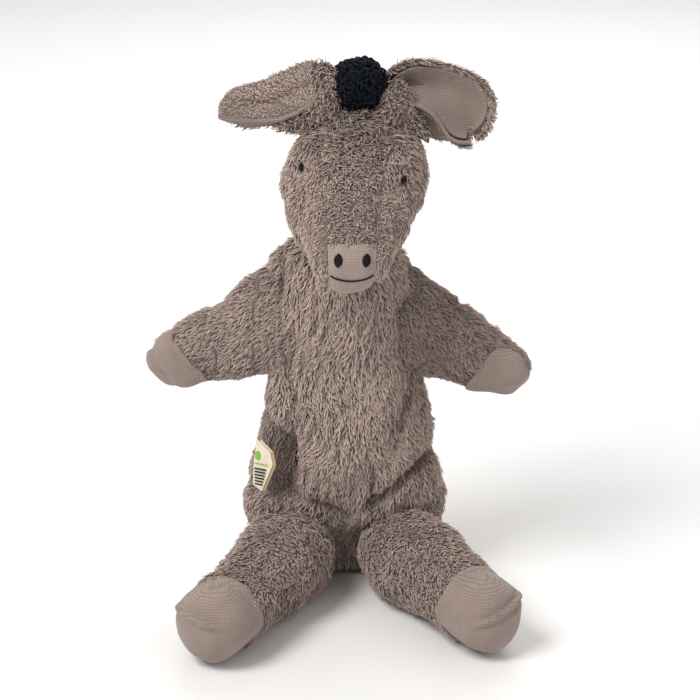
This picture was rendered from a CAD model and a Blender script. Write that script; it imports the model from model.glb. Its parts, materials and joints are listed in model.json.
import json
from math import cos, pi, radians, sin

import bmesh
import bpy
import numpy as np
from mathutils import Matrix, Vector


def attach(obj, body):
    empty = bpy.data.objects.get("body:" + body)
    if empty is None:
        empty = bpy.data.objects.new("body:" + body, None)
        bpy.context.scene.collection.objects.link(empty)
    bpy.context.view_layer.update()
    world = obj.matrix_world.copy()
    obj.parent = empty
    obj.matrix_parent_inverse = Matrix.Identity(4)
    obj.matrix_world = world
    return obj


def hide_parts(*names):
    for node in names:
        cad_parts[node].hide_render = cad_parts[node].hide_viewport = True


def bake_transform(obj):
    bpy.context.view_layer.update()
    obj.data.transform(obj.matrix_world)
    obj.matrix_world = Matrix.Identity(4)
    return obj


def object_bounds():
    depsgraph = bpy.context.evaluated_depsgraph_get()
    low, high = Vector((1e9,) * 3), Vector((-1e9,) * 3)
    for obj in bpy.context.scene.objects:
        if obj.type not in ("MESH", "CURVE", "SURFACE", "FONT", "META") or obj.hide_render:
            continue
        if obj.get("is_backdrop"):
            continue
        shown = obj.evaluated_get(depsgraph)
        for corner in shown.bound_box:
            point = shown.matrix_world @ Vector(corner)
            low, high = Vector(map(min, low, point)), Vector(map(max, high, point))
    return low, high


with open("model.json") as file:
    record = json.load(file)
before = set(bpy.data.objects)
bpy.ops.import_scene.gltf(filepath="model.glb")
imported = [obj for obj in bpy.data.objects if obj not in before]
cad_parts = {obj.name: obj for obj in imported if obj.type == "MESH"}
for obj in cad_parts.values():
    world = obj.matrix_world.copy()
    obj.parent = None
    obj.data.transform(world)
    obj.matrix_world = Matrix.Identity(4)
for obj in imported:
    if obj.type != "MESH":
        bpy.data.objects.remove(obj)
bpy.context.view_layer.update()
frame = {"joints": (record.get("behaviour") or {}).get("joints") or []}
pivot = {joint["name"]: Vector(joint["pos_m"]) for joint in frame["joints"]}
mm = 0.001
sides = {"left": -1, "right": 1}


# ---------------------------------------------------------------------------------- body glove
# The body is an empty glove of plush, cut as a front and a back panel that meet in side seams.
# The back stands on its bound hem; the front folds in over the thighs and closes at the crotch.
def nothing_selected():
    """Leaves object mode with nothing selected, so that the next operator acts alone."""
    if bpy.context.mode != "OBJECT":
        bpy.ops.object.mode_set(mode="OBJECT")
    bpy.ops.object.select_all(action="DESELECT")


def only(piece):
    """Makes one object the selected and active one."""
    nothing_selected()
    piece.select_set(True)
    bpy.context.view_layer.objects.active = piece


def sewn_tube(name, rings, around=40):
    """Makes a closed tube: a filled circle is extruded from ring to ring.

    Each ring is its centre and its two half-axes, as vectors in millimetres."""
    nothing_selected()
    bpy.ops.mesh.primitive_circle_add(vertices=around, radius=1.0, fill_type="NGON")
    piece = bpy.context.object
    piece.name = piece.data.name = name
    bpy.ops.object.mode_set(mode="EDIT")
    was = Vector((0, 0, 0)), Vector((1, 0, 0)), Vector((0, 1, 0))
    for number, ring in enumerate(rings):
        if number:
            bpy.ops.mesh.extrude_region_move()
        now = [Vector(part) * mm for part in ring]
        mesh = bmesh.from_edit_mesh(piece.data)
        for vertex in mesh.verts:
            if vertex.select:
                out = vertex.co - was[0]
                share = [out.dot(axis) / axis.length_squared for axis in was[1:]]
                vertex.co = now[0] + now[1] * share[0] + now[2] * share[1]
        bmesh.update_edit_mesh(piece.data)
        was = now
    bpy.ops.mesh.select_all(action="SELECT")
    bpy.ops.mesh.normals_make_consistent(inside=False)
    bpy.ops.object.mode_set(mode="OBJECT")
    return piece


def apply_modifier(piece, kind, **settings):
    """Adds a modifier and applies it."""
    only(piece)
    modifier = piece.modifiers.new(kind.lower(), kind)
    for name, value in settings.items():
        setattr(modifier, name, value)
    bpy.ops.object.modifier_apply(modifier=modifier.name)


def even_out(piece, voxel, rounds=4):
    """Remeshes a form in even faces and smooths it, as cloth evens out over what it holds."""
    apply_modifier(piece, "REMESH", mode="VOXEL", voxel_size=voxel * mm)
    apply_modifier(piece, "SMOOTH", iterations=rounds, factor=0.5)
    bpy.ops.object.shade_smooth()


def rows_of(items, kind, width=3):
    """A property of the vertices or triangles as an array of rows."""
    flat = np.empty(len(items) * width)
    items.foreach_get(kind, flat)
    return flat.reshape(-1, width)


def put(piece, places):
    """Moves a mesh's points to these places, in metres."""
    piece.data.vertices.foreach_set("co", places.ravel())
    piece.data.update()


def swell(piece, amount):
    """Moves the points out along their normals by millimetres, from places in millimetres."""
    places = rows_of(piece.data.vertices, "co")
    facing = rows_of(piece.data.vertices, "normal")
    put(piece, places + facing * (amount(places / mm, facing) * mm)[:, None])


def waves(places, length, seed):
    """Smooth random values from about -1 to 1 over places in mm, of about that wavelength."""
    draw = np.random.default_rng(seed)
    total = np.zeros(len(places))
    for _ in range(7):
        way = draw.normal(size=3)
        way *= 2 * pi / (length * draw.uniform(0.7, 1.5)) / np.linalg.norm(way)
        total += np.sin(places @ way + draw.uniform(0, 2 * pi))
    return total / 3.2


def near_line(places, line):
    """Distance from each place to a line through these points, all in mm."""
    best = np.full(len(places), 1e9)
    for start, end in zip(line, line[1:]):
        start, step = np.array(start), np.array(end) - np.array(start)
        share = np.clip((places - start) @ step / (step @ step), 0, 1)
        gone = places - start - share[:, None] * step
        best = np.minimum(best, np.linalg.norm(gone, axis=1))
    return best


def dip(distance, width):
    """1 on a line and 0 away from it, falling smoothly over that width."""
    return np.exp(-(distance / width) ** 2)


def cut_off(piece, name, point, way):
    """Cuts a piece along a plane; what lies on the side that way points to is a new piece."""
    only(piece)
    bpy.ops.object.duplicate()
    part = bpy.context.object
    part.name = part.data.name = name
    for one, keeps_front in ((part, True), (piece, False)):
        only(one)
        bpy.ops.object.mode_set(mode="EDIT")
        bpy.ops.mesh.select_all(action="SELECT")
        bpy.ops.mesh.bisect(plane_co=Vector(point) * mm, plane_no=Vector(way),
                            clear_inner=keeps_front, clear_outer=not keeps_front)
        bpy.ops.object.mode_set(mode="OBJECT")
    return part


def new_material(name):
    """A material with its nodes, its links and its shader."""
    material = bpy.data.materials.new(name)
    material.use_nodes = True
    nodes = material.node_tree.nodes
    return material, nodes, material.node_tree.links, nodes["Principled BSDF"]


def plush_ground():
    """The knitted ground that the pile stands in: dark between the locks."""
    material, nodes, links, shader = new_material("plush ground")
    place = nodes.new("ShaderNodeTexCoord")
    speckle = nodes.new("ShaderNodeTexNoise")
    speckle.inputs["Scale"].default_value = 900.0
    links.new(place.outputs["Object"], speckle.inputs["Vector"])
    shades = nodes.new("ShaderNodeValToRGB")
    shades.color_ramp.elements[0].color = (0.10, 0.073, 0.062, 1)
    shades.color_ramp.elements[1].color = (0.20, 0.150, 0.128, 1)
    links.new(speckle.outputs["Fac"], shades.inputs["Fac"])
    links.new(shades.outputs["Color"], shader.inputs["Base Color"])
    shader.inputs["Roughness"].default_value = 1.0
    return material


def plush_pile():
    """Pile, dark at the root and pale at the tip. U runs along a lock and V is its shade."""
    material, nodes, links, shader = new_material("plush pile")
    along = nodes.new("ShaderNodeUVMap")
    along.uv_map = "OFBake"
    split = nodes.new("ShaderNodeSeparateXYZ")
    links.new(along.outputs["UV"], split.inputs["Vector"])
    fade = nodes.new("ShaderNodeValToRGB")
    fade.color_ramp.elements[0].color = (0.090, 0.064, 0.054, 1)
    fade.color_ramp.elements[1].position = 0.95
    fade.color_ramp.elements[1].color = (0.60, 0.465, 0.405, 1)
    middle = fade.color_ramp.elements.new(0.45)
    middle.color = (0.34, 0.257, 0.221, 1)
    links.new(split.outputs["X"], fade.inputs["Fac"])
    strength = nodes.new("ShaderNodeMapRange")
    strength.inputs["To Min"].default_value = 0.55
    strength.inputs["To Max"].default_value = 1.30
    links.new(split.outputs["Y"], strength.inputs["Value"])
    shaded = nodes.new("ShaderNodeVectorMath")
    shaded.operation = "SCALE"
    links.new(fade.outputs["Color"], shaded.inputs[0])
    links.new(strength.outputs["Result"], shaded.inputs["Scale"])
    links.new(shaded.outputs["Vector"], shader.inputs["Base Color"])
    shader.inputs["Roughness"].default_value = 0.8
    shader.inputs["Specular IOR Level"].default_value = 0.25
    shader.inputs["Sheen Weight"].default_value = 0.2
    shader.inputs["Sheen Roughness"].default_value = 0.5
    return material


ground_cloth, pile_fibre = plush_ground(), plush_pile()
lock_rings = [(0.0, 1.0), (0.5, 1.0), (0.87, 0.55)]     # along the lock, its width there
most_locks = 13000                # per piece, so that a piece stays light


def grow_pile(name, piece, rides, nap, length, keep=None, shade=None, seed=1, gap=1.08,
              width=0.47, lift=0.40, stray=0.16, curl=0.16, streak=(1.0, 1.0, 0.34),
              clumping=1.0):
    """Plants locks of pile over a skin, one to a small cell so that they stand evenly.

    nap gives the way the pile is brushed, length a lock's length, keep where it grows and shade
    how much paler it is, each from the places in mm and the normals of the roots. The locks cling
    together in clumps, drawn out along streak's short axis."""
    draw = np.random.default_rng(seed)
    mesh = piece.data
    mesh.calc_loop_triangles()
    corners = np.empty(len(mesh.loop_triangles) * 3, dtype=np.int64)
    mesh.loop_triangles.foreach_get("vertices", corners)
    corners = corners.reshape(-1, 3)
    places = rows_of(mesh.vertices, "co")[corners] / mm
    normals = rows_of(mesh.vertices, "normal")[corners]
    cross = np.cross(places[:, 1] - places[:, 0], places[:, 2] - places[:, 0])
    areas = np.linalg.norm(cross, axis=1) / 2
    count = int(areas.sum() / gap ** 2 * 3.2)
    face = draw.choice(len(areas), size=count, p=areas / areas.sum())
    a, b = draw.random(count), draw.random(count)
    a, b = np.where(a + b > 1, 1 - a, a), np.where(a + b > 1, 1 - b, b)
    weights = np.stack([1 - a - b, a, b], axis=1)[:, :, None]
    roots = (places[face] * weights).sum(axis=1)
    facing = (normals[face] * weights).sum(axis=1)
    facing /= np.linalg.norm(facing, axis=1, keepdims=True)
    _, first = np.unique(np.floor(roots / (gap * 1.12)).astype(np.int64), axis=0,
                         return_index=True)
    roots, facing = roots[first], facing[first]
    if keep is not None:
        stays = keep(roots, facing)
        roots, facing = roots[stays], facing[stays]
    count = len(roots)
    brushed = nap(roots, facing) + stray * draw.normal(size=(count, 3))
    brushed = brushed + 0.34 * np.stack([waves(roots, 8, seed + k) for k in (11, 12, 13)], axis=1)
    brushed = brushed - (brushed * facing).sum(axis=1, keepdims=True) * facing
    brushed /= np.maximum(np.linalg.norm(brushed, axis=1, keepdims=True), 1e-9)
    across = np.cross(facing, brushed)
    clump = np.clip(waves(roots * np.array(streak), 3.1, seed + 20), -1.3, 1.3) * clumping
    long = length(roots, facing) * draw.uniform(0.8, 1.15, count) * (1 + 0.18 * clump)
    up = lift * draw.uniform(0.75, 1.25, count) * (1 + 0.4 * clump)
    tone = 0.52 + 0.12 * draw.normal(size=count) + 0.17 * clump + 0.09 * waves(roots, 28, 77)
    if shade is not None:
        tone = tone + shade(roots, facing)
    tone = np.clip(tone, 0.02, 0.98)
    sway = curl * draw.normal(size=(count, 2))
    wide = width * draw.uniform(0.75, 1.3, count)
    rings = []
    for at, girth in lock_rings + [(1.0, 0.0)]:
        rise = long * (0.10 * at + np.sin(min(at * 1.6, 1.45)) * up * 0.7) - 0.4
        run = long * at ** 1.3 * np.sqrt(np.maximum(1 - up ** 2 * 0.5, 0.1))
        drift = long * (sway[:, 0] * at ** 2 + sway[:, 1] * sin(3.6 * at) * 0.5)
        middle = roots + facing * rise[:, None] + brushed * run[:, None] + across * drift[:, None]
        if girth == 0.0:
            rings.append(middle[:, None, :])
            continue
        corners = [middle + (across * side + facing * top) * (wide * girth)[:, None]
                   for side, top in ((-1.0, -0.2), (1.0, -0.2), (0.0, 0.55))]
        rings.append(np.stack(corners, axis=1))
    lock_points = np.concatenate(rings, axis=1) * mm
    per_lock, levels = lock_points.shape[1], len(lock_rings)
    triangles = []
    for level in range(levels - 1):
        for corner in range(3):
            low, high = level * 3 + corner, level * 3 + (corner + 1) % 3
            triangles += [(low, high, high + 3), (low, high + 3, low + 3)]
    last = levels * 3 - 3
    triangles += [(last + k, last + (k + 1) % 3, levels * 3) for k in range(3)]
    triangles = np.array(triangles)
    heights = np.array([at for at, _ in lock_rings for _ in range(3)] + [1.0]) * 0.96 + 0.02
    spread = np.array([-0.008, 0.008, 0.0] * levels + [0.0])
    made = []
    order = np.argsort(roots[:, 2], kind="stable")
    batches = max(1, -(-count // most_locks))
    for number, chosen in enumerate(np.array_split(order, batches), start=1):
        label = name if batches == 1 else f"{name}_{number}"
        points = lock_points[chosen].reshape(-1, 3)
        faces = (triangles[None] + np.arange(len(chosen))[:, None, None] * per_lock)
        faces = faces.reshape(-1, 3)
        mesh = bpy.data.meshes.new(label)
        mesh.vertices.add(len(points))
        mesh.vertices.foreach_set("co", points.ravel())
        mesh.loops.add(faces.size)
        mesh.loops.foreach_set("vertex_index", faces.ravel())
        mesh.polygons.add(len(faces))
        mesh.polygons.foreach_set("loop_start", np.arange(0, faces.size, 3))
        layer = mesh.uv_layers.new(name="OFBake")
        uv = np.empty((len(chosen), len(triangles) * 3, 2))
        uv[:, :, 0] = heights[triangles.ravel()][None]
        uv[:, :, 1] = tone[chosen][:, None] + spread[triangles.ravel()][None]
        layer.data.foreach_set("uv", uv.ravel())
        mesh.update(calc_edges=True)
        mesh.shade_smooth()
        mesh.materials.append(pile_fibre)
        pile = bpy.data.objects.new(label, mesh)
        bpy.context.collection.objects.link(pile)
        go_with(pile, rides)
        made.append(pile)
    return made


def go_with(piece, rides):
    """Makes a piece ride on one body, or bend between two."""
    if isinstance(rides, str):
        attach(piece, rides)
    else:
        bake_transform(piece)


def dress(piece, rides, material, slot, *nodes):
    """Gives a piece its material, the body that it rides on and the CAD nodes it replaces."""
    piece.data.materials.clear()
    piece.data.materials.append(material)
    go_with(piece, rides)
    if nodes:
        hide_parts(*nodes)


body_x, body_y = 2.46, 44.45
body_rows = [                     # height, half width, depth in front, depth behind
    (0.5, 47, 9, 29), (8, 48, 9, 30.5), (20, 50, 11, 31.5), (30, 52.5, 17, 32),
    (38, 53, 25, 32.5), (46, 52, 32, 32.5), (55, 51, 34, 32), (64, 50, 34, 31),
    (75, 46.5, 32.5, 29.5), (86, 43.8, 30, 28), (97, 41.5, 28, 26.5), (110, 39, 26, 25),
    (125, 37.5, 24, 23.5), (140, 36, 22.5, 22), (155, 36, 21, 20.5), (166, 36.5, 19.5, 19.5),
    (173, 35.5, 18.5, 18.5), (179, 31.5, 17.5, 17.5), (184, 25.5, 16, 16), (187, 18, 12, 12),
    (189, 8, 6, 6)]
body_rings = [((body_x + 1.6 * np.exp(-((z - 100) / 22) ** 2) - 3 * np.exp(-((z - 174) / 9) ** 2),
                body_y + (back - front) / 2, z), (half, 0, 0), (0, (front + back) / 2, 0))
              for z, half, front, back in body_rows]
body = sewn_tube("body_back_cloth", body_rings)
even_out(body, 2.6)
armholes = {"left": [(-27, 182), (-31.5, 158), (-35, 136), (-38, 112)],
            "right": [(34, 180), (38.5, 154), (41.5, 140), (46, 114)]}
front_folds = [                   # line in x and z, depth, width
    ([(16.4, 74), (17.4, 47)], 2.2, 2.2),
    ([(15, 50), (25, 57.5), (33, 64), (47, 73)], 6.0, 3.6),
    ([(-26, 138), (-27, 116), (-21, 97), (-24, 84)], 4.2, 3.6),
    ([(-50, 54), (-30, 55), (-12, 51), (2, 45)], 4.5, 4.0),
    ([(31, 152), (34, 128), (36, 112), (30, 92)], 3.4, 4.0),
    ([(-43, 118), (-42, 100), (-34, 88)], 3.0, 4.0),
    ([(-4, 160), (-1, 130), (4, 104)], 1.2, 5.0)]


def in_pit(flat):
    """How deep in the hollow beside the label a place lies, from 0 to 1."""
    away = np.hypot((flat[:, 0] + 29.0) / 8.5, (flat[:, 1] - 71) / 16)
    return np.exp(-away ** 3)


def body_shape(places, facing):
    """Bulges and folds of the empty cloth, over places in mm."""
    front = np.clip(-facing[:, 1] * 2, 0, 1)
    flat = places[:, [0, 2]]
    lift = 2.0 * waves(places, 36, 3) * np.clip((places[:, 2] - 8) / 30, 0, 1)
    for line, depth, width in front_folds:
        lift = lift - 1.35 * front * depth * dip(near_line(flat, line), width)
    lift = lift - 19.0 * front * in_pit(flat)
    belly = np.hypot((flat[:, 0] + 1) / 27, (flat[:, 1] - 84) / 26)
    lift = lift + 6.0 * front * np.exp(-belly ** 3)
    for side in sides:
        lift = lift - 2.4 * front * dip(near_line(flat, armholes[side]), 2.4)
    lift = lift - 1.4 * dip(places[:, 1] - body_y, 2.0) * (places[:, 2] < 120)
    return lift


swell(body, body_shape)
apply_modifier(body, "SMOOTH", iterations=1, factor=0.5)
below = cut_off(body, "below the hem", (0, 0, 2.0), (0, 0, -1))
bpy.data.objects.remove(below)
front_cloth = cut_off(body, "body_front_cloth", (0, body_y, 0), (0, -1, 0))
panels = {"body_front": front_cloth, "body_back": body}


def brushed_down(roots, facing):
    """The body's pile is brushed down, and a little outwards from the middle."""
    way = np.tile([0.0, 0.0, -1.0], (len(roots), 1))
    way[:, 0] = 0.28 * waves(roots, 40, 21) + (roots[:, 0] - body_x) * 0.006
    return way


def body_gap(panel):
    """The back is seen less, so its locks stand a little wider apart."""
    return {"gap": 1.0} if panel == "body_front" else {"gap": 1.14, "width": 0.52}


def body_length(roots, facing):
    """Pile length on the body, shorter at the seams."""
    at_seam = dip(roots[:, 1] - body_y, 2.0)
    for side in sides:
        at_seam = np.maximum(at_seam, dip(near_line(roots[:, [0, 2]], armholes[side]), 2.2))
    at_seam = np.maximum(at_seam, dip(near_line(roots[:, [0, 2]], front_folds[0][0]), 1.5))
    in_front = roots[:, 1] < body_y
    return 4.5 * (1 - 0.45 * at_seam) * (1 - 0.5 * in_pit(roots[:, [0, 2]]) * in_front)


def body_shade(roots, facing):
    """Darker where the folds lie deep."""
    flat, dark = roots[:, [0, 2]], np.zeros(len(roots))
    for line, depth, width in front_folds:
        dark = dark + 0.05 * depth * dip(near_line(flat, line), width * 0.8)
    for side in sides:
        dark = dark + 0.3 * dip(near_line(flat, armholes[side]), 1.6)
    return -(dark + 1.6 * in_pit(flat)) * (roots[:, 1] < body_y)


for number, (panel, cloth) in enumerate(panels.items()):
    grow_pile(f"{panel}_pile", cloth, "torso", brushed_down, body_length,
              keep=lambda p, n: (p[:, 2] > 6.5) & (p[:, 2] < 187), shade=body_shade,
              seed=31 + number, **body_gap(panel))
    apply_modifier(cloth, "SOLIDIFY", thickness=1.2 * mm, offset=-1)
    dress(cloth, "torso", ground_cloth, "plush", panel)


def knit_stitches():
    """A node group that gives 1 on the stitches of a fine knit and falls to 0 between them."""
    group = bpy.data.node_groups.new("knit stitches", "ShaderNodeTree")
    for wanted, kind in (("Place", "NodeSocketVector"), ("Spacing", "NodeSocketFloat")):
        group.interface.new_socket(wanted, in_out="INPUT", socket_type=kind)
    group.interface.new_socket("Stitch", in_out="OUTPUT", socket_type="NodeSocketFloat")
    nodes, links = group.nodes, group.links
    start, end = nodes.new("NodeGroupInput"), nodes.new("NodeGroupOutput")
    wander = nodes.new("ShaderNodeTexNoise")
    wander.inputs["Scale"].default_value = 120.0
    links.new(start.outputs["Place"], wander.inputs["Vector"])
    nudge = nodes.new("ShaderNodeVectorMath")
    nudge.operation = "SCALE"
    nudge.inputs["Scale"].default_value = 0.0025
    links.new(wander.outputs["Color"], nudge.inputs[0])
    moved = nodes.new("ShaderNodeVectorMath")
    links.new(start.outputs["Place"], moved.inputs[0])
    links.new(nudge.outputs["Vector"], moved.inputs[1])
    split = nodes.new("ShaderNodeSeparateXYZ")
    links.new(moved.outputs["Vector"], split.inputs["Vector"])
    turn = nodes.new("ShaderNodeMath")
    turn.operation = "DIVIDE"
    turn.inputs[0].default_value = 2 * pi
    links.new(start.outputs["Spacing"], turn.inputs[1])
    parts = []
    for axis in "XZ":
        angle = nodes.new("ShaderNodeMath")
        angle.operation = "MULTIPLY"
        links.new(split.outputs[axis], angle.inputs[0])
        links.new(turn.outputs[0], angle.inputs[1])
        wave = nodes.new("ShaderNodeMath")
        wave.operation = "SINE"
        links.new(angle.outputs[0], wave.inputs[0])
        parts.append(wave)
    both = nodes.new("ShaderNodeMath")
    both.operation = "MINIMUM"
    for number, wave in enumerate(parts):
        links.new(wave.outputs[0], both.inputs[number])
    scale = nodes.new("ShaderNodeMapRange")
    scale.inputs["From Min"].default_value = -1.0
    scale.inputs["From Max"].default_value = 0.35
    links.new(both.outputs[0], scale.inputs["Value"])
    links.new(scale.outputs["Result"], end.inputs["Stitch"])
    return group


stitch_pattern = knit_stitches()


def fine_knit(name, pale, dark, spacing):
    """Smooth knit: rows of small pale stitches, dark between them, spacing in millimetres."""
    material, nodes, links, shader = new_material(name)
    place = nodes.new("ShaderNodeTexCoord")
    stitches = nodes.new("ShaderNodeGroup")
    stitches.node_tree = stitch_pattern
    stitches.inputs["Spacing"].default_value = spacing * mm
    links.new(place.outputs["Object"], stitches.inputs["Place"])
    shades = nodes.new("ShaderNodeValToRGB")
    shades.color_ramp.elements[0].color = (*dark, 1)
    shades.color_ramp.elements[1].color = (*pale, 1)
    links.new(stitches.outputs["Stitch"], shades.inputs["Fac"])
    clouds = nodes.new("ShaderNodeTexNoise")
    clouds.inputs["Scale"].default_value = 70.0
    links.new(place.outputs["Object"], clouds.inputs["Vector"])
    fade = nodes.new("ShaderNodeMapRange")
    fade.inputs["To Min"].default_value = 0.78
    fade.inputs["To Max"].default_value = 1.18
    links.new(clouds.outputs["Fac"], fade.inputs["Value"])
    shaded = nodes.new("ShaderNodeVectorMath")
    shaded.operation = "SCALE"
    links.new(shades.outputs["Color"], shaded.inputs[0])
    links.new(fade.outputs["Result"], shaded.inputs["Scale"])
    links.new(shaded.outputs["Vector"], shader.inputs["Base Color"])
    bump = nodes.new("ShaderNodeBump")
    bump.inputs["Distance"].default_value = 0.35 * mm
    bump.inputs["Strength"].default_value = 0.6
    links.new(stitches.outputs["Stitch"], bump.inputs["Height"])
    links.new(bump.outputs["Normal"], shader.inputs["Normal"])
    shader.inputs["Roughness"].default_value = 0.95
    shader.inputs["Specular IOR Level"].default_value = 0.2
    shader.inputs["Sheen Weight"].default_value = 0.25
    return material


knit = fine_knit("knit", (0.38, 0.30, 0.262), (0.245, 0.187, 0.163), 1.05)

# The hem is bound with a strip of smooth knit that lies flat on the floor at the back.
hem_rows = [(0.2, 0.0), (1.0, 1.0), (3.5, 1.2), (5.5, 1.0), (6.2, 0.0)]
hem_rings = [((body_x + 0.44, body_y + 10, z), (47.6 + out, 0, 0), (0, 20.0 + out, 0))
             for z, out in hem_rows]
hem = sewn_tube("hem_binding_strip", hem_rings, around=64)
front_half = cut_off(hem, "front of the hem", (0, body_y, 0), (0, -1, 0))
bpy.data.objects.remove(front_half)
only(hem)
bpy.ops.object.mode_set(mode="EDIT")
bpy.ops.mesh.select_all(action="DESELECT")
bpy.ops.object.mode_set(mode="OBJECT")
for face in hem.data.polygons:
    face.select = len(face.vertices) > 4
bpy.ops.object.mode_set(mode="EDIT")
bpy.ops.mesh.delete(type="FACE")
bpy.ops.object.mode_set(mode="OBJECT")
apply_modifier(hem, "SOLIDIFY", thickness=1.0 * mm, offset=-1)
bpy.ops.object.shade_smooth()
dress(hem, "torso", knit, "binding", "hem_binding")


# ---------------------------------------------------------------------------------- neck
# A short plush tube joins the body to the head, so that the finger can reach up inside.
neck_at = pivot["neck_turn"] / mm
neck_rows = [(-13, 15), (-10, 19.5), (-4, 22), (4, 22), (10, 19.5), (13, 14)]
neck = sewn_tube("neck_cloth", [(neck_at + Vector((0, 0, at)), (radius, 0, 0), (0, radius, 0))
                                for at, radius in neck_rows])
even_out(neck, 2.2)
grow_pile("neck_pile", neck, "neck", brushed_down, lambda p, n: np.full(len(p), 4.5), seed=36,
          keep=lambda p, n: np.abs(n[:, 2]) < 0.7, gap=1.25, width=0.55)
for way in (1, -1):
    end = cut_off(neck, "end of the neck", neck_at + Vector((0, 0, 11.5 * way)), (0, 0, way))
    bpy.data.objects.remove(end)
apply_modifier(neck, "SOLIDIFY", thickness=1.2 * mm, offset=-1)
dress(neck, "neck", ground_cloth, "plush", "neck_sleeve")


# ---------------------------------------------------------------------------------- legs
# Each leg is a plush tube stuffed with fibre and sewn in under the front of the body. Its foot is
# a hoof cap of smooth knit, cut in two halves that meet in a raised seam across the sole.
leg_facts = {"left": (25.0, 80.0, 0.12, 0.8), "right": (31.0, 73.0, 0.34, -2.2)}
for side, sign in sides.items():
    splay, length, slope, bow = leg_facts[side]   # slope is the hoof seam's, bow is inwards
    hip = pivot[f"hip_swing_{side}"] / mm
    along = Vector((sign * sin(radians(splay)), -cos(radians(splay)), 0))
    across = along.cross(Vector((0, 0, 1)))
    seam_at = length - 9.5

    def centre_at(at):
        """Middle of the leg: it bows a little at the knee and sinks towards the foot."""
        place = hip + along * at
        place.x -= sign * bow * np.exp(-((at - 30) / 22) ** 2)
        place.z = 22.3 if at < 25 else 22.3 - (at - 25) * 2.6 / (length - 25)
        return place

    rows = [(-20, 12), (-14, 18), (-5, 22), (6, 23.2), (20, 23.2), (35, 20.9), (48, 18.9),
            (seam_at - 6, 18.0), (seam_at + 2, 17.6), (seam_at + 12, 16), (seam_at + 18, 9)]
    leg = sewn_tube(f"leg_{side}_upper_cloth",
                    [(centre_at(at), across * radius, (0, 0, radius)) for at, radius in rows])
    even_out(leg, 2.4)

    def leg_shape(places, facing, sign=sign):
        """Lumps of the filling, and the tuck where the leg is sewn in."""
        return 1.1 * waves(places, 22, 5 + sign)

    swell(leg, leg_shape)
    places = rows_of(leg.data.vertices, "co")
    places[:, 2] = np.maximum(places[:, 2], 0.8 * mm)   # it lies flat on the floor
    put(leg, places)

    def up_the_leg(roots, facing, along=along):
        """Brushed towards the hoof and down at the sides."""
        return np.tile([along.x * 0.7, along.y * 0.7, -0.35], (len(roots), 1))

    def above_the_hoof(roots, facing, hip=hip, along=along, seam_at=seam_at):
        at = (roots - np.array(hip)) @ np.array(along)
        return (at < seam_at + 1.2) & (at > -21)

    under = cut_off(leg, f"leg_{side}_under_cloth", (0, 0, 21.0), (0, 0, -1))
    for panel, cloth in (("upper", leg), ("under", under)):
        grow_pile(f"leg_{side}_{panel}_pile", cloth, f"leg_{side}", up_the_leg,
                  lambda p, n: np.clip(p[:, 2] * 0.5, 0.5, 3.5), keep=above_the_hoof,
                  seed=41 + sign + 5 * len(panel), lift=0.55, curl=0.4, stray=0.3, clumping=0.6,
                  width=0.43, gap=1.02 if panel == "upper" else 1.15, streak=(1.0, 0.6, 0.6))
        dress(cloth, f"leg_{side}", ground_cloth, "plush", f"leg_{side}_{panel}")
    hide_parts(f"leg_{side}_filling")

    cap_rows = [(-3.5, 18.0), (-1.2, 19.6), (0.2, 20.4), (1.4, 20.5), (2.6, 19.9), (4, 19.8),
                (7, 20.0), (10, 20.0), (13, 19.7), (16, 19.1), (19, 18.0), (21.5, 16.4),
                (23.5, 14.4), (25.3, 11.9), (26.8, 9.2), (27.9, 6.2), (28.6, 3.2), (28.8, 0.9)]
    hoof = sewn_tube(f"hoof_{side}_upper_cloth",
                     [(centre_at(seam_at + at), across * radius, (0, 0, radius))
                      for at, radius in cap_rows], around=96)
    apply_modifier(hoof, "SUBSURF", levels=1, render_levels=1)
    places = rows_of(hoof.data.vertices, "co")    # narrower towards the floor
    aside = (places / mm - np.array(centre_at(seam_at))) @ np.array(across)
    under = np.clip((21 * mm - places[:, 2]) / (20 * mm), 0, 1)
    places -= np.array(across) * (aside * 0.26 * under ** 1.5)[:, None] * mm
    put(hoof, places)
    middle = centre_at(seam_at + 15)
    ridge_way = Vector((sign * slope, 0, -1)).normalized()
    ridge_point = middle + Vector((0, 0, 6.0 - 1.0 * sign))

    def hoof_shape(places, facing, middle=middle, way=ridge_way, point=ridge_point, sign=sign):
        """The raised seam from the outer side to the middle, and a slight crease past it."""
        off = (places - np.array(point)) @ np.array(way)
        outer = np.clip(((places[:, 0] - middle.x) * sign + 9) / 8, 0, 1)
        ahead = np.clip((middle.y + 9 - places[:, 1]) / 6, 0, 1)
        ridge = 1.5 * dip(off, 0.9) - 1.1 * dip(np.abs(off) - 2.4, 1.2)
        out = np.clip(((places[:, 0] - middle.x) * sign - 8) / 12, 0, 1)
        flat_under = -1.6 * np.clip(-facing[:, 2], 0, 1) ** 3
        lumps = 0.4 * waves(places, 15, 9)
        return ridge * outer * ahead + 1.8 * out * dip(off, 6.0) + lumps + flat_under

    swell(hoof, hoof_shape)
    bpy.ops.object.shade_smooth()
    sole = cut_off(hoof, f"hoof_{side}_sole_cloth", ridge_point, ridge_way)
    for cloth, part in ((hoof, "upper"), (sole, "sole")):
        dress(cloth, f"leg_{side}", knit, "knit", f"hoof_{side}_{part}")


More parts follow.
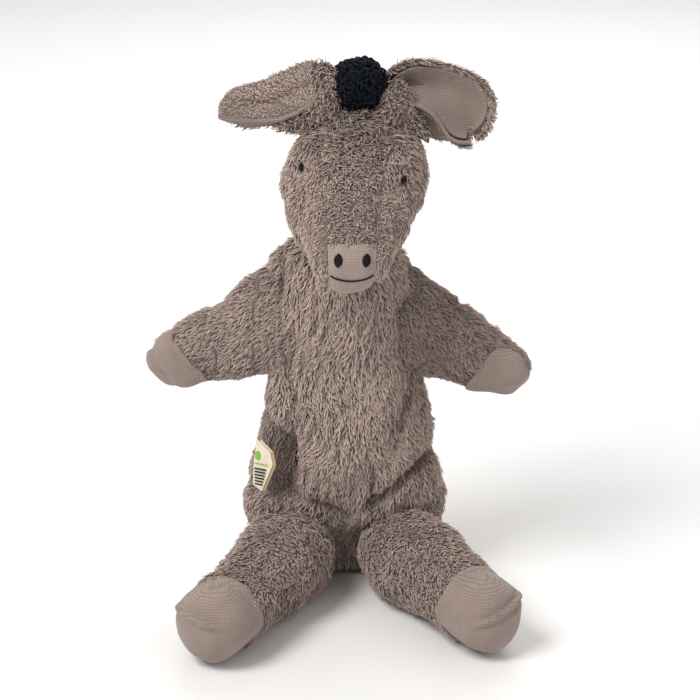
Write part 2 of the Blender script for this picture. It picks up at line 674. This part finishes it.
# ---------------------------------------------------------------------------------- arms
# Each sleeve is empty and sewn into its armhole, wide there and narrow at the paw. The back panel
# runs on over the top of the paw, and its palm is smooth knit, joined at the wrist in a seam.
arm_rows = [(-14, 33, 11), (-8, 32, 14), (1, 28.6, 15), (11, 24.6, 15), (22, 21.2, 14.5),
            (34, 18.6, 13.8), (46, 16.4, 12.6), (56, 14.4, 11.2), (62, 12.2, 9.8),
            (66.5, 8.8, 7), (69, 3.2, 2.6)]
arm_facts = {"left": (20.0, 0.0, 1.02, 1.0), "right": (18.0, 23.0, 0.97, 0.97)}
arm_shade = {"left": -0.10, "right": -0.26}
for side, sign in sides.items():
    slope, forward, share, height = arm_facts[side]
    slope, forward = radians(slope), radians(forward)
    shoulder = pivot[f"shoulder_lift_{side}"] / mm + Vector((0, 0, 0.5))
    along = Vector((sign * cos(slope) * cos(forward), -cos(slope) * sin(forward), -sin(slope)))
    deep = Vector((-sign * sin(forward), -cos(forward), 0))
    tall = along.cross(deep)
    tall = tall if tall.z > 0 else -tall
    rings = [(shoulder + along * at * share, tall * half * height, deep * thick)
             for at, half, thick in arm_rows]
    arm = sewn_tube(f"sleeve_{side}_back_cloth", rings)
    even_out(arm, 2.4)
    frame_of_arm = [np.array(part) for part in (shoulder, along, tall, deep)]

    def arm_shape(places, facing, sign=sign):
        """Soft hollows and creases of the empty sleeve."""
        crease = np.abs(waves(places * np.array([1.0, 1.0, 0.5]), 30, 25 + sign))
        return 1.1 * waves(places, 26, 15 + sign) - 1.8 * dip(crease, 0.14)

    swell(arm, arm_shape)
    bend = ("torso", f"arm_{side}", shoulder * mm, (shoulder + along * 24) * mm)
    wrist = shoulder + along * 47 * share
    paw = cut_off(arm, f"paw_{side}_part", wrist, (along - tall * 0.32 + deep * 0.1).normalized())
    palm = cut_off(paw, f"paw_{side}_palm_cloth", wrist + tall * 5, (deep - tall * 0.55))
    front = cut_off(arm, f"sleeve_{side}_front_cloth", shoulder, deep)

    def down_the_sleeve(roots, facing, along=along):
        """Brushed out towards the paw and down."""
        return np.tile([along.x * 0.95, along.y * 0.8, -0.75], (len(roots), 1))

    def past_the_armhole(roots, facing, facts=frame_of_arm):
        return (roots - facts[0]) @ facts[1] > -11

    for name, cloth in ((f"sleeve_{side}_front", front), (f"sleeve_{side}_back", arm),
                        (f"paw_{side}_back", paw)):
        grow_pile(f"{name}_pile", cloth, bend, down_the_sleeve,
                  lambda p, n: np.full(len(p), 3.7), keep=past_the_armhole, seed=61 + len(name),
                  lift=0.36, curl=0.2, stray=0.2, gap=1.02, width=0.43, clumping=0.7,
                  shade=lambda p, n, dark=arm_shade[side]: np.where(n[:, 1] < -0.2, dark, 0.02))
        cloth.name = cloth.data.name = f"{name}_cloth"
        dress(cloth, bend, ground_cloth, "plush")
    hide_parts(f"sleeve_{side}_front")
    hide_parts(f"sleeve_{side}_back")

    def palm_shape(places, facing):
        """The palm lies a little proud of the cut edges round it."""
        return 1.6 + 0.9 * waves(places, 13, 8)

    swell(palm, palm_shape)
    apply_modifier(palm, "SUBSURF", levels=1, render_levels=1)
    apply_modifier(palm, "SOLIDIFY", thickness=1.4 * mm, offset=-1)
    apply_modifier(palm, "BEVEL", width=0.5 * mm, segments=2, limit_method="ANGLE")
    bpy.ops.object.shade_smooth()
    dress(palm, bend, knit, "knit", f"paw_{side}_palm")


# ---------------------------------------------------------------------------------- head
# The head is stuffed firm: two side panels, a gusset from the nose over the forehead and one
# under the chin, of plush, and a patch of smooth knit over the end of the nose.
head_x = body_x + 6.0
head_rows = [                     # back from the neck, height, half width, half height
    (37, 221, 4, 4), (35, 221, 12, 12), (28, 221, 23, 22), (14, 220, 33.5, 30.5),
    (-5, 218, 36, 33), (-21, 213, 33.5, 30), (-36, 206.5, 27.5, 25), (-51, 199.5, 22.3, 20.3),
    (-62, 195.5, 20.0, 16.2), (-69, 193.4, 18.0, 13.8), (-73.5, 192.2, 14.2, 10.6),
    (-75.8, 191.8, 7.5, 5.5), (-76.2, 191.7, 2, 1.5)]
head_rings = [((head_x - 2.2, body_y + back, z), (half_x, 0, 0), (0, 0, half_z))
              for back, z, half_x, half_z in head_rows]
head = sewn_tube("head_side_right_cloth", head_rings, around=48)
even_out(head, 2.2)
places = rows_of(head.data.vertices, "co")
low_back = np.clip((225 * mm - places[:, 2]) / (30 * mm), 0, 1) * (places[:, 1] > 8 * mm)
places[:, 0] += (places[:, 2] - 192 * mm) * 0.085 - low_back * 2.5 * mm   # it leans a little
put(head, places)
nose_x = 6.3
gusset_edge = {"left": [(nose_x - 11, 0), (nose_x - 11.8, 25), (nose_x - 15, 60), (-4.0, 112)],
               "right": [(nose_x + 11, 0), (nose_x + 12.2, 25), (nose_x + 16.5, 60), (22.0, 112)]}


def off_gusset(places, side):
    """Distance from the seam between a side panel and the gussets, along x."""
    line = np.array(gusset_edge[side])
    return places[:, 0] - np.interp(places[:, 1] + 31, line[:, 1], line[:, 0])


eye_places = {"left": (-17.5, 228.0), "right": (31.0, 224.5)}


def head_shape(places, facing):
    """Seam grooves, eye hollows and the lumps of the filling."""
    lift = 0.9 * waves(places, 24, 12)
    for side in sides:
        lift = lift - 1.7 * dip(off_gusset(places, side), 2.0) * (places[:, 1] < 60)
    for x, z in eye_places.values():
        hollow = np.hypot((places[:, 0] - x) / 6, (places[:, 2] - z) / 6)
        lift = lift - 2.2 * np.exp(-hollow ** 2) * (places[:, 1] < 30)
    return lift


swell(head, head_shape)
side_left = cut_off(head, "head_side_left_cloth", (nose_x - 11.2, -31, 200), (-1, -0.035, 0))
forehead = cut_off(head, "forehead_gusset_cloth", (nose_x + 11.4, -31, 200), (-1, 0.09, 0))
chin = cut_off(forehead, "chin_gusset_cloth", (head_x, 3.5, 191), (0, 0.1, -1))
nose_point, nose_way = Vector((nose_x, -22.6, 197)), Vector((0, -1, -0.30))
nose_patch = cut_off(forehead, "nose_patch_cloth", (nose_x, -22, 202.5), (0, -0.34, -0.94))
nose_under = cut_off(chin, "nose_patch_under", nose_point + Vector((0, 2, 0)), nose_way)
only(nose_patch)
nose_under.select_set(True)
bpy.ops.object.join()
bpy.ops.object.mode_set(mode="EDIT")
bpy.ops.mesh.select_all(action="SELECT")
bpy.ops.mesh.remove_doubles(threshold=0.05 * mm)
bpy.ops.object.mode_set(mode="OBJECT")


def brushed_over_head(roots, facing):
    """Down the cheeks, and curly over the forehead."""
    way = np.tile([0.0, -0.15, -0.9], (len(roots), 1))
    top = np.clip((roots[:, 2] - 225) / 25, 0, 1)
    way[:, 0] += 0.6 * waves(roots, 14, 22) * (0.4 + top)
    way[:, 1] += 0.5 * waves(roots, 16, 23)
    return way


def head_length(roots, facing):
    """Short towards the nose and at the seams, longer over the crown."""
    crown = np.clip((roots[:, 2] - 220) / 25, 0, 1)
    seam = sum(dip(off_gusset(roots, side), 1.2) for side in sides) * (roots[:, 1] < 60)
    long = 2.4 + 1.6 * crown + 0.7 * np.clip((roots[:, 1] + 10) / 50, 0, 1)
    return long * (1 - 0.35 * seam)


def head_shade(roots, facing):
    """Paler on the cheeks and darker at the seams, round the eyes and under the ears."""
    shade = 0.12 * np.clip(np.abs(facing[:, 0]) * 1.5 - 0.5, 0, 1)
    shade = shade - 0.34 * np.clip((roots[:, 2] - 234) / 14, 0, 1)
    for side in sides:
        shade = shade - 0.38 * dip(off_gusset(roots, side), 1.0) * (roots[:, 1] < 60)
    return shade


def clear_of_eyes(roots, facing):
    """Leaves the embroidered eyes bare."""
    clear = np.ones(len(roots), dtype=bool)
    for x, z in eye_places.values():
        clear &= (np.hypot(roots[:, 0] - x, roots[:, 2] - z) > 2.0) | (roots[:, 1] > 30)
    return clear


for number, (panel, cloth) in enumerate((("head_side_left", side_left),
                                         ("head_side_right", head),
                                         ("forehead_gusset", forehead),
                                         ("chin_gusset", chin))):
    cheek = "side" in panel
    grow_pile(f"{panel}_pile", cloth, "head", brushed_over_head, head_length, shade=head_shade,
              keep=clear_of_eyes, seed=51 + number, gap=0.98, width=0.42,
              lift=0.42 if cheek else 0.68, curl=0.2 if cheek else 0.5,
              stray=0.2 if cheek else 0.5, streak=(1, 1, 0.4) if cheek else (1, 1, 0.8))
    dress(cloth, "head", ground_cloth, "plush", panel)
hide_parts("head_filling", "finger_tube")
swell(nose_patch, lambda places, facing: np.full(len(places), 0.5))
apply_modifier(nose_patch, "SUBSURF", levels=1, render_levels=1)
apply_modifier(nose_patch, "SOLIDIFY", thickness=1.6 * mm, offset=-1)
bpy.ops.object.shade_smooth()
nose_knit = fine_knit("nose knit", (0.43, 0.34, 0.30), (0.29, 0.223, 0.195), 1.15)
dress(nose_patch, "head", nose_knit, "knit", "nose_patch")


# ---------------------------------------------------------------------------------- face
# Eyes and nostrils are satin stitch in black thread, laid side by side through the cloth. The
# mouth is one line of the same thread in back stitch along the lower part of the nose patch.
def plain(name, colour, roughness=0.9, sheen=0.0):
    """A material of one colour."""
    material, _, _, shader = new_material(name)
    shader.inputs["Base Color"].default_value = (*colour, 1)
    shader.inputs["Roughness"].default_value = roughness
    shader.inputs["Sheen Weight"].default_value = sheen
    shader.inputs["Specular IOR Level"].default_value = 0.15
    return material


thread = plain("black thread", (0.008, 0.008, 0.010), 0.6, 0.0)


def surface_near(pieces, start, way):
    """Where a ray from outside first meets one of the pieces, in mm, with the normal there."""
    best = None
    for piece in pieces:
        hit, place, facing, _ = piece.ray_cast(Vector(start) * mm, Vector(way).normalized())
        if hit and (best is None or (place / mm - Vector(start)).length < best[2]):
            best = place / mm, facing, (place / mm - Vector(start)).length
    return best[0], best[1]


def strands(name, lines, radius, rides, material):
    """Threads as thin round tubes along these lines of places, joined in one mesh."""
    nothing_selected()
    curve = bpy.data.curves.new(name, "CURVE")
    curve.dimensions, curve.bevel_depth, curve.bevel_resolution = "3D", radius * mm, 1
    curve.use_fill_caps = True
    for line in lines:
        spline = curve.splines.new("POLY")
        spline.points.add(len(line) - 1)
        for point, place in zip(spline.points, line):
            point.co = (*(Vector(place) * mm), 1)
    piece = bpy.data.objects.new(name, curve)
    bpy.context.collection.objects.link(piece)
    only(piece)
    bpy.ops.object.convert(target="MESH")
    piece = bpy.context.object
    bpy.ops.object.shade_smooth()
    piece.data.materials.append(material)
    go_with(piece, rides)
    return piece


def satin(name, centre, facing, half_wide, half_tall, lean, node):
    """An oval of satin stitch that crowns over the cloth."""
    out = Vector(facing).normalized()
    high = (Vector((0, 0, 1)) - out * out.z).normalized()
    high = Matrix.Rotation(radians(lean), 3, out) @ high
    wide = high.cross(out)
    lines, steps = [], int(half_tall * 2 / 0.42)
    for step in range(steps + 1):
        level = -1 + 2 * step / steps
        reach = half_wide * max(1 - level ** 2, 0.06) ** 0.5
        line = []
        for part in range(7):
            t = -1 + part / 3
            crown = 0.75 * (1 - 0.8 * t ** 2) * (1 - 0.5 * level ** 2)
            line.append(Vector(centre) + high * (level * half_tall + 0.25 * t) + wide * (reach * t)
                        + out * (crown - 0.1))
        lines.append(line)
    piece = strands(name, lines, 0.30, "head", thread)
    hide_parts(node)


face_cloth = [forehead, side_left, head, nose_patch]
for side, (x, z) in eye_places.items():
    place, facing = surface_near(face_cloth, (x, -60, z), (0, 1, 0))
    satin(f"eye_{side}_stitches", place + facing * 1.6, facing + Vector((0, -0.5, 0.1)), 1.35, 1.8,
          -24 * sides[side], f"eye_{side}")
for side, x, lean in (("left", nose_x - 6.4, 6), ("right", nose_x + 7.0, -4)):
    place, facing = surface_near([nose_patch], (x, -90, 197.6), (0, 1, 0))
    satin(f"nostril_{side}_stitches", place, facing, 2.0, 2.9, lean, f"nostril_{side}")
smile, smile_half = [], 12
for part in range(2 * smile_half + 1):
    t = -1 + part / smile_half
    start = (nose_x + 0.2 + 10.0 * t, -90, 187.6 + 2.2 * t ** 2)
    place, facing = surface_near([nose_patch, chin], start, (0, 1, 0))
    smile.append(place + facing * (0.35 + 0.12 * cos(part * pi)))
mouth = strands("mouth_stitches", [smile], 0.42, "head", thread)
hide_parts("mouth_stitch")


# ---------------------------------------------------------------------------------- mane
# A tuft of dark looped wool is sewn on the crown between the ears and runs a little way back.
wool = plain("dark wool", (0.005, 0.007, 0.014), 0.95, 0.03)
mane_at, mane_size = np.array([9.8, body_y + 9, 263.5]), np.array([14.0, 15.5, 11.6])
nothing_selected()
bpy.ops.mesh.primitive_ico_sphere_add(subdivisions=3, radius=1.0)
mane = bpy.context.object
mane.name = mane.data.name = "mane_ground"
places = rows_of(mane.data.vertices, "co") * mane_size * 0.92 + mane_at
put(mane, places * mm)
swell(mane, lambda places, facing: 1.2 * waves(places, 9, 4))
bpy.ops.object.shade_smooth()
dress(mane, "head", wool, "mane_wool", "mane")
nothing_selected()
bpy.ops.mesh.primitive_torus_add(major_segments=8, minor_segments=4, major_radius=1.55,
                                 minor_radius=0.62)
loop = bpy.context.object
loop_points = rows_of(loop.data.vertices, "co")
loop_faces = np.array([list(face.vertices) for face in loop.data.polygons])
bpy.data.objects.remove(loop)
draw = np.random.default_rng(8)
turns = np.linspace(0, 1, 620)
high, round_it = 1 - 2 * turns, np.arange(620) * 2.39996
flat = np.sqrt(1 - high ** 2)
points, faces = [], []
for number in range(620):
    out = np.array([flat[number] * cos(round_it[number]), flat[number] * sin(round_it[number]),
                    high[number]])
    seat = mane_at + out * mane_size * draw.uniform(0.92, 1.08)
    spin = Matrix.Rotation(draw.uniform(0, 2 * pi), 3, "Z")
    tip = Matrix.Rotation(draw.uniform(0.2, 1.5), 3, "X")
    stand = Vector(out).to_track_quat("Z", "Y").to_matrix() @ spin @ tip
    grown = loop_points * draw.uniform(0.7, 1.25, 3) @ np.array(stand).T
    points.append(grown + seat)
    faces.append(loop_faces + number * len(loop_points))
points, faces = np.concatenate(points) * mm, np.concatenate(faces)
mesh = bpy.data.meshes.new("mane_loops")
mesh.from_pydata(points.tolist(), [], faces.tolist())
mesh.shade_smooth()
mesh.materials.append(wool)
mane_loops = bpy.data.objects.new("mane_loops", mesh)
bpy.context.collection.objects.link(mane_loops)
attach(mane_loops, "head")


# ---------------------------------------------------------------------------------- ears
# Each ear is a leaf of plush backed with smooth knit, folded lengthwise at its root and sewn
# into the crown. The left one shows its plush and the right one curls forward to show its lining.
def shares_gone(line):
    """How far along a line each of its points is, from 0 to 1."""
    gone = np.concatenate([[0], np.cumsum(np.linalg.norm(np.diff(line, axis=0), axis=1))])
    return gone / gone[-1]


def leaf(name, upper, lower, depth, across=14, along=26):
    """A sheet between two edge lines of (x, z) in mm; depth gives its y from how far it is along
    and across, both from 0 to 1."""
    nothing_selected()
    bpy.ops.mesh.primitive_grid_add(x_subdivisions=along, y_subdivisions=across, size=2)
    piece = bpy.context.object
    piece.name = piece.data.name = name
    shares = (rows_of(piece.data.vertices, "co")[:, :2] + 1) / 2
    edges = []
    for line in (upper, lower):
        line = np.array(line, dtype=float)
        gone = shares_gone(line)
        edges.append(np.stack([np.interp(shares[:, 0], gone, line[:, k]) for k in (0, 1)], axis=1))
    flat = edges[0] * (1 - shares[:, 1:]) + edges[1] * shares[:, 1:]
    y = np.array([depth(along_it, across_it) for along_it, across_it in shares])
    put(piece, np.stack([flat[:, 0], y, flat[:, 1]], axis=1) * mm)
    apply_modifier(piece, "SMOOTH", iterations=5, factor=0.5)
    apply_modifier(piece, "SUBSURF", levels=1, render_levels=1)
    bpy.ops.object.shade_smooth()
    return piece


def turn_over(piece):
    """Turns the faces of a sheet round."""
    only(piece)
    bpy.ops.object.mode_set(mode="EDIT")
    bpy.ops.mesh.select_all(action="SELECT")
    bpy.ops.mesh.flip_normals()
    bpy.ops.object.mode_set(mode="OBJECT")


def faces_forward(piece):
    """Makes a sheet face the front."""
    if rows_of(piece.data.polygons, "normal")[:, 1].sum() > 0:
        turn_over(piece)


ear_y = body_y + 3
ear_lining = fine_knit("ear knit", (0.36, 0.28, 0.245), (0.22, 0.166, 0.144), 0.95)
ear_ways = {"left": np.array([-1.0, 0.0, -0.35]), "right": np.array([0.9, 0.0, -0.55])}
ear_sheets = {                    # upper edge, lower edge, depth
    "left": {
        "face": ([(-7, 272), (-12.5, 277.5), (-20, 275.5), (-32.5, 269.5), (-42, 265.5),
                  (-50.5, 264), (-57, 260), (-60.5, 254)],
                 [(-8.5, 264.5), (-13, 257), (-21, 251.5), (-30, 247.8), (-41, 247.3),
                  (-49.5, 247.3), (-56, 247.8), (-60, 251)],
                 lambda s, t: ear_y + 3 - 9 * t + 3.4 * np.exp(-((t - 0.60) / 0.09) ** 2)
                 * min(s * 3, (1 - s) * 3, 1)),
        "fold": ([(-20, 251), (-26, 250), (-34, 249.2), (-46, 249), (-55, 249)],
                 [(-20, 246), (-27, 243.8), (-38, 242.8), (-48, 241.8), (-54, 245.2)],
                 lambda s, t: ear_y - 4.0 + 6 * t)},
    "right": {
        "face": ([(24, 267), (28.5, 272), (35.5, 276), (45, 275.8), (55.5, 273.3), (66, 270),
                  (74, 264.8), (77.5, 257), (77, 248.5), (73.5, 241.5), (68, 237.5)],
                 [(23, 261), (28, 259), (33.6, 256.4), (41, 254), (46.4, 250.8), (50.4, 246.2),
                  (52.6, 242.2), (55, 238.8), (58.4, 236.8), (62, 236.2), (65.6, 236.6)],
                 lambda s, t: ear_y + 1.0 + 8.0 * sin(pi * min(t * 1.05, 1)) * (1 - 0.4 * s)
                 - 5 * t * s - 3.5 * max(t - 0.8, 0) / 0.2),
        "fold": ([(36.5, 256), (42, 253), (48, 248.5), (51.8, 242.6), (54.5, 238)],
                 [(33.6, 244.5), (39.4, 239.8), (45, 236.2), (50.8, 234.2), (55.6, 235)],
                 lambda s, t: ear_y + 2.0 + 4 * t)}}
ear_roots = {                     # centre and radius of the gathered root, then of what hangs
    "left": [[(-10, 47, 247, 8.5), (-8, 47, 256, 8.0), (-7, 47.5, 265, 6.5), (-8, 48, 272, 5.2),
              (-10, 48, 276, 1.5)],
             [(-8, 48, 247, 6), (-16, 46, 247, 5.5), (-25, 45, 246, 4.0), (-32, 45, 245.5, 1.5)]],
    "right": [[(26, 47, 246, 9.5), (28, 47, 254, 9), (28.5, 47.5, 261, 6.5), (29, 48, 266, 2)],
              [(28, 48, 250, 7), (34, 47, 248, 6.5), (40, 46, 243, 5), (46, 46, 236, 2)]]}
for side, sign in sides.items():
    parts = ear_sheets[side]
    face, fold = (leaf(f"ear_{side}_{part}", *parts[part]) for part in ("face", "fold"))
    for sheet in (face, fold):
        faces_forward(sheet)
    only(face)
    bpy.ops.object.duplicate()
    behind = bpy.context.object
    plush, lining = (face, behind) if side == "left" else (behind, face)
    plush.name = plush.data.name = f"ear_{side}_back_cloth"
    lining.name = lining.data.name = f"ear_{side}_lining_cloth"
    swell(behind, lambda places, facing: np.full(len(places), -2.4))
    outer = parts["face"][0]

    def near_rim(roots, width, outer=outer):
        """Whether a place lies by the outer edge of the ear."""
        return near_line(roots[:, [0, 2]], outer) < width

    if side == "right":           # the lining stops short of the plush rim
        trim = rows_of(lining.data.vertices, "co")
        middle = trim.mean(axis=0)
        trim[:, [0, 2]] = middle[[0, 2]] + (trim - middle)[:, [0, 2]] * np.array([0.91, 0.86])
        trim[:, 1] += 1.2 * mm
        put(lining, trim)
    turn_over(behind)

    def along_the_ear(roots, facing, way=ear_ways[side], left=side == "left"):
        """Brushed towards the tip, and on the left ear away from the crease along it."""
        brushed = np.tile(way, (len(roots), 1))
        if left:
            middle = 255.5 - (roots[:, 0] + 30) * 0.10
            brushed[:, 2] += np.where(roots[:, 2] > middle, 1.0, -0.7)
        return brushed

    def where_plush(roots, facing, left=side == "left", rim=near_rim):
        """All over the seen side of the left ear, and on the back and rim of the right one."""
        return facing[:, 1] < 0.6 if left else (facing[:, 1] > -0.3) | rim(roots, 5.5)

    apply_modifier(plush, "SOLIDIFY", thickness=0.9 * mm, offset=-1)
    short = 1.9 if side == "left" else 3.3
    grow_pile(f"ear_{side}_pile", plush, f"ear_{side}", along_the_ear,
              lambda p, n, short=short: np.full(len(p), short), seed=71 + sign, gap=0.86,
              width=0.36, lift=0.5, stray=0.3, curl=0.25, keep=where_plush, clumping=0.45,
              streak=(0.4, 1.0, 1.0),
              shade=lambda p, n, left=side == "left": np.full(len(p), 0.10 if left else 0.0))
    apply_modifier(lining, "SOLIDIFY", thickness=0.9 * mm, offset=-1)
    dress(plush, f"ear_{side}", ground_cloth, "plush", f"ear_{side}_back")
    dress(lining, f"ear_{side}", ear_lining, "lining_cloth", f"ear_{side}_lining")
    apply_modifier(fold, "SOLIDIFY", thickness=1.6 * mm, offset=-1)
    fold.name = fold.data.name = f"ear_{side}_folded_edge"
    grow_pile(f"ear_{side}_fringe", fold, f"ear_{side}", along_the_ear,
              lambda p, n: np.full(len(p), 2.8), seed=75 + sign, gap=1.0, width=0.42, lift=0.6,
              keep=lambda p, n: n[:, 1] > -0.3)
    dress(fold, f"ear_{side}", ear_lining, "lining_cloth")
    lower, depth = np.array(parts["face"][1], dtype=float), parts["face"][2]
    gone, turn_steps, turned = shares_gone(lower), 32, []
    for step in range(turn_steps + 1):
        at = step / turn_steps
        x, z = (np.interp(at, gone, lower[:, k]) for k in (0, 1))
        turned.append((x, depth(at, 1.0) - (0.4 if side == "left" else -0.8), z + 0.4))
    strands(f"ear_{side}_turned_edge", [turned], 1.15, f"ear_{side}", ear_lining)
    for number, line in enumerate(ear_roots[side], start=1):
        stands = number == 1      # the first root stands up, the second lies along the ear
        rings = [((x, y, z), (radius, 0, 0) if stands else (0, radius, 0),
                  (0, radius, 0) if stands else (0, 0, radius)) for x, y, z, radius in line]
        root = sewn_tube(f"ear_{side}_root_{number}", rings, around=24)
        even_out(root, 1.6)
        grow_pile(f"ear_{side}_root_{number}_pile", root, f"ear_{side}", brushed_over_head,
                  lambda p, n: np.full(len(p), 3.4), seed=81 + sign + number, gap=1.0, width=0.44,
                  lift=0.75, curl=0.5, stray=0.5, keep=lambda p, n: p[:, 2] > 240,
                  shade=lambda p, n: np.full(len(p), -0.1))
        dress(root, f"ear_{side}", ground_cloth, "plush")


# ---------------------------------------------------------------------------------- label
# A woven ribbon, cream with a green mark and dark bars, is folded in a loop and caught in the
# side seam low on the body's left, so that it stands out from the cloth.
cream = plain("cream ribbon", (0.80, 0.72, 0.58), 0.85, 0.2)
tan = plain("tan ribbon edge", (0.50, 0.36, 0.22), 0.85, 0.2)
green = plain("green print", (0.25, 0.50, 0.06), 0.85)
ink = plain("dark print", (0.03, 0.028, 0.026), 0.85)
label_at, label_turn = Vector((-38.5, 19.5, 70.5)), Matrix.Rotation(radians(-16), 3, "Z")
label_outline = [(-4.0, 14.5), (3.2, 8.0), (4.6, 1.5), (-1.8, -14.5), (-6.6, -11.0), (-5.8, 1.0)]


def on_label(across, up, out=0.0):
    """A place on the label, which stands out from the seam and leans a little."""
    bow = 0.6 * sin((up + 14.5) / 29 * pi)
    return (label_at + label_turn @ Vector((across, -out - bow, up))) * mm


def flat_shape(name, outline, out, thickness, material):
    """A flat piece of ribbon or print: its outline is filled and given a thickness."""
    nothing_selected()
    bpy.ops.mesh.primitive_circle_add(vertices=len(outline), radius=1.0, fill_type="NGON")
    piece = bpy.context.object
    piece.name = piece.data.name = name
    for vertex, (across, up) in zip(piece.data.vertices, outline):
        vertex.co = on_label(across, up, out)
    bpy.ops.object.mode_set(mode="EDIT")
    bpy.ops.mesh.select_all(action="SELECT")
    bpy.ops.mesh.inset(thickness=0.25 * mm)
    bpy.ops.object.mode_set(mode="OBJECT")
    if piece.data.polygons[0].normal.y > 0:
        turn_over(piece)
    apply_modifier(piece, "SOLIDIFY", thickness=thickness * mm, offset=-1)
    piece.data.materials.append(material)
    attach(piece, "torso")
    return piece


ribbon = flat_shape("label_front", label_outline, 0.9, 0.4, cream)
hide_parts("side_label")
behind_outline = [(x + 1.5, z - 0.4) for x, z in label_outline]
behind = flat_shape("label_behind", behind_outline, -0.5, 0.4, cream)
fold = flat_shape("label_fold", [(3.2, 8.0), (4.9, 7.6), (6.2, 1.2), (-0.4, -14.8), (-1.8, -14.5),
                                 (4.6, 1.5)], 0.4, 0.9, tan)
mark = [(-3.4 + 1.6 * cos(k * pi / 8), 5.6 + 2.6 * sin(k * pi / 8)) for k in range(16)]
flat_shape("label_mark", mark, 1.02, 0.1, green)
flat_shape("label_mark_line", [(-5.2, 1.6), (2.2, 1.0), (2.2, 0.5), (-5.2, 1.1)], 1.02, 0.1, green)
for number in range(6):
    up, short = -1.2 - number * 1.75, 0.45 * number
    flat_shape(f"label_bar_{number + 1}", [(-5.4, up), (1.0 - short, up - 0.5),
                                           (1.0 - short, up - 1.35), (-5.4, up - 0.85)],
               1.02, 0.1, ink)


# ---------------------------------------------------------------------------------- set
# A plain pale floor, soft light from above and in front, and the camera.
nothing_selected()
bpy.ops.mesh.primitive_plane_add(size=6.0)
floor = bpy.context.object
floor.name = "floor"
floor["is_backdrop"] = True
paper, _, _, shader = new_material("paper")
shader.inputs["Base Color"].default_value = (0.87, 0.86, 0.85, 1)
shader.inputs["Roughness"].default_value = 0.9
floor.data.materials.append(paper)

world = bpy.data.worlds.new("studio")
bpy.context.scene.world = world
world.use_nodes = True
sky = world.node_tree.nodes["Background"]
sky.inputs["Color"].default_value = (1.0, 0.985, 0.97, 1)
sky.inputs["Strength"].default_value = 0.52


def softbox(name, place, aim, size, power):
    """A square area light that faces a point."""
    light = bpy.data.lights.new(name, "AREA")
    light.size, light.energy = size, power
    lamp = bpy.data.objects.new(name, light)
    lamp.location = place
    lamp.rotation_euler = (Vector(aim) - Vector(place)).to_track_quat("-Z", "Y").to_euler()
    bpy.context.collection.objects.link(lamp)


middle_point = Vector((5.46, 44.45, 125)) * mm
softbox("key", (-0.9, -0.7, 1.5), middle_point, 0.8, 24)
softbox("fill", (1.2, -0.9, 0.8), middle_point, 1.2, 3)
softbox("back", (0.2, 1.3, 1.3), middle_point, 1.2, 14)

elevation, distance = radians(20), 1.1
camera_data = bpy.data.cameras.new("camera")
camera_data.lens, camera_data.sensor_width = 108.7, 36.0
camera = bpy.data.objects.new("camera", camera_data)
camera.location = middle_point + Vector((0, -cos(elevation), sin(elevation))) * distance
camera.rotation_euler = (pi / 2 - elevation, 0, 0)
bpy.context.collection.objects.link(camera)
bpy.context.scene.camera = camera
bpy.context.scene.view_settings.view_transform = "Standard"

low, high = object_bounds()
